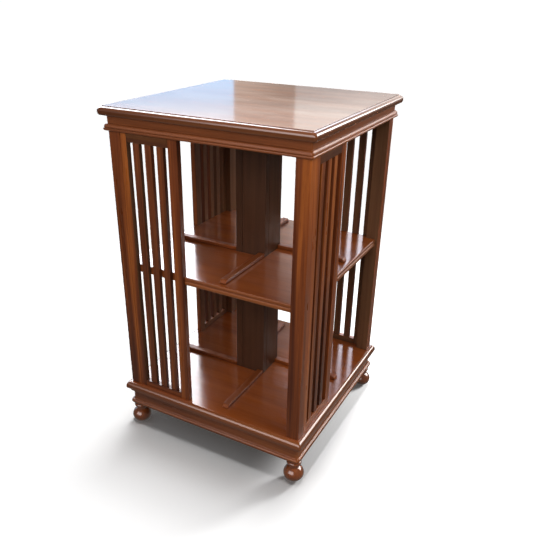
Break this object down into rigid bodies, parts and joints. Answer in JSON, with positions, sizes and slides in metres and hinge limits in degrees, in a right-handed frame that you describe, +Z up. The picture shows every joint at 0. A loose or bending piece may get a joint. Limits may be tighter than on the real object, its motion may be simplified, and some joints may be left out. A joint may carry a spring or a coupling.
{
  "type": "revolving bookcase",
  "caption": "Square two-tier wooden bookcase on bun feet whose case, with slatted panels and open book bays in pinwheel, turns freely on a fixed base.",
  "frame": {"origin": "on the floor, under the spindle axis that the case turns about, at the centre of the four feet", "axes": "+Z up along the spindle axis, +X and +Y square to two of the four like faces"},
  "size_m": [0.508, 0.508, 0.823],
  "materials": {
    "mahogany_case": "polished mahogany",
    "mahogany_panel": "polished mahogany",
    "mahogany_top": "high polish mahogany",
    "mahogany_column": "dark polished mahogany",
    "mahogany_turned": "polished turned mahogany",
    "plain_hardwood": "unfinished hardwood",
    "iron": "dark oiled iron",
    "brass": "plain brass"
  },
  "bodies": {
    "base": {"foot_front_left": "mahogany_turned", "foot_front_right": "mahogany_turned", "foot_back_right": "mahogany_turned", "foot_back_left": "mahogany_turned", "base_rail_front": "mahogany_case", "base_rail_right": "mahogany_case", "base_rail_back": "mahogany_case", "base_rail_left": "mahogany_case", "base_board": "plain_hardwood", "spindle": "iron", "thrust_washer": "brass"},
    "case": {"bottom_board": "mahogany_case", "middle_shelf": "mahogany_case", "top_board": "mahogany_top", "spindle_bearing": "plain_hardwood", "corner_post_front_left": "mahogany_panel", "corner_post_front_right": "mahogany_panel", "corner_post_back_right": "mahogany_panel", "corner_post_back_left": "mahogany_panel", "inner_stile_front": "mahogany_panel", "inner_stile_right": "mahogany_panel", "inner_stile_back": "mahogany_panel", "inner_stile_left": "mahogany_panel", "panel_bottom_rail_front": "mahogany_panel", "panel_bottom_rail_right": "mahogany_panel", "panel_bottom_rail_back": "mahogany_panel", "panel_bottom_rail_left": "mahogany_panel", "panel_top_rail_front": "mahogany_panel", "panel_top_rail_right": "mahogany_panel", "panel_top_rail_back": "mahogany_panel", "panel_top_rail_left": "mahogany_panel", "slat_front_1": "mahogany_panel", "slat_front_2": "mahogany_panel", "slat_front_3": "mahogany_panel", "slat_right_1": "mahogany_panel", "slat_right_2": "mahogany_panel", "slat_right_3": "mahogany_panel", "slat_back_1": "mahogany_panel", "slat_back_2": "mahogany_panel", "slat_back_3": "mahogany_panel", "slat_left_1": "mahogany_panel", "slat_left_2": "mahogany_panel", "slat_left_3": "mahogany_panel", "column_board_front": "mahogany_column", "column_board_right": "mahogany_column", "column_board_back": "mahogany_column", "column_board_left": "mahogany_column", "middle_stop_front": "mahogany_case", "middle_stop_right": "mahogany_case", "middle_stop_back": "mahogany_case", "middle_stop_left": "mahogany_case", "bottom_stop_front": "mahogany_case", "bottom_stop_right": "mahogany_case", "bottom_stop_back": "mahogany_case", "bottom_stop_left": "mahogany_case", "frieze_rail_front": "mahogany_case", "frieze_rail_right": "mahogany_case", "frieze_rail_back": "mahogany_case", "frieze_rail_left": "mahogany_case"}
  },
  "joints": [
    {"name": "case_spin", "type": "hinge", "parent": "base", "child": "case", "pos_m": [0, 0, 0.0985], "axis": [0, 0, 1], "continuous": true}
  ]
}
